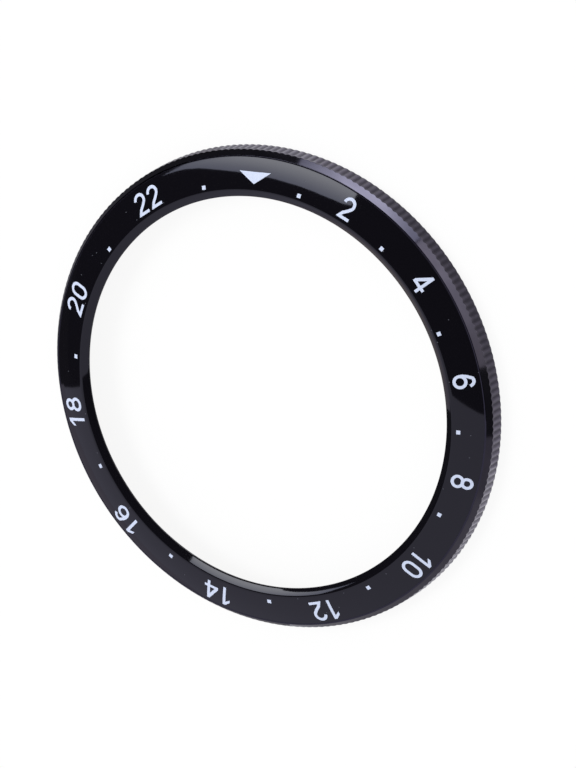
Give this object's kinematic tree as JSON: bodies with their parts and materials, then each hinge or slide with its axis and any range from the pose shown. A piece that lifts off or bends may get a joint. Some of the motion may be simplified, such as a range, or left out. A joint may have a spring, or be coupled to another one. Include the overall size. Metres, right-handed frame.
{
  "type": "smartwatch bezel cover",
  "caption": "Coin-edged ring with a domed, numbered black insert; it slips over a smartwatch's rotating bezel and is held by tape.",
  "frame": {"origin": "middle of the flat back rim, on the ring's axis", "axes": "+Z along the ring's axis, out of the watch face; +Y towards the 24-hour triangle; +X a quarter turn clockwise from it, seen from +Z"},
  "size_m": [0.046, 0.046, 0.0033],
  "materials": {
    "gunmetal_steel": "stainless steel with a dark gunmetal vapour-deposited coat, ribs as cut, chamfer polished",
    "gloss_black": "high-gloss black enamel with pale blue-white printed marks",
    "clear_adhesive": "clear acrylic adhesive film",
    "foam_tape": "dark grey acrylic foam, tacky",
    "liner_paper": "siliconised glassine paper"
  },
  "bodies": {
    "root": {"carrier_ring": "gunmetal_steel", "scale_insert": "gloss_black", "insert_bond_film": "clear_adhesive", "mounting_tape": "foam_tape", "release_liner": "liner_paper"}
  },
  "joints": []
}
